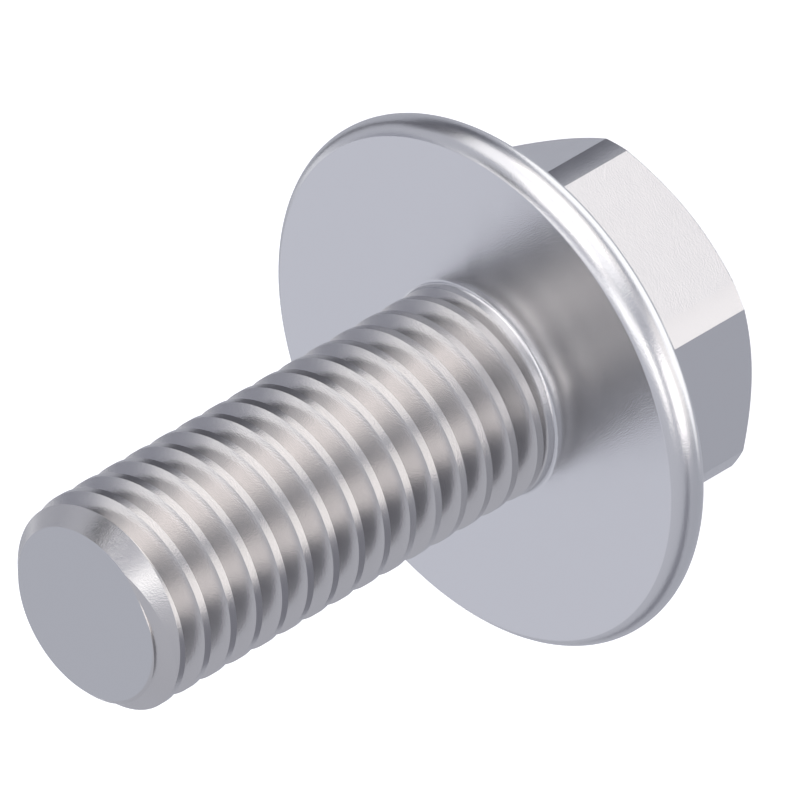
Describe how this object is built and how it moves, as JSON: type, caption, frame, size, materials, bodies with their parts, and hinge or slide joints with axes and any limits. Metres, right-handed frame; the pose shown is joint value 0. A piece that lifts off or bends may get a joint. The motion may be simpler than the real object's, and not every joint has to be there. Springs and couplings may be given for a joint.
{
  "type": "flange bolt",
  "caption": "Hexagon flange bolt: a chamfered hexagon head on a wide round-rimmed flange, with a fully threaded shank.",
  "frame": {"origin": "centre of the head's flat top face, on which the bolt stands", "axes": "+Z along the bolt's axis from the head to the threaded tip; +X square to one of the hexagon's flats; +Y through a corner"},
  "size_m": [0.0202, 0.0202, 0.0266],
  "materials": {
    "satin_steel": "satin, with a faint fine grain"
  },
  "bodies": {
    "root": {"flange_bolt": "satin_steel"}
  },
  "joints": []
}
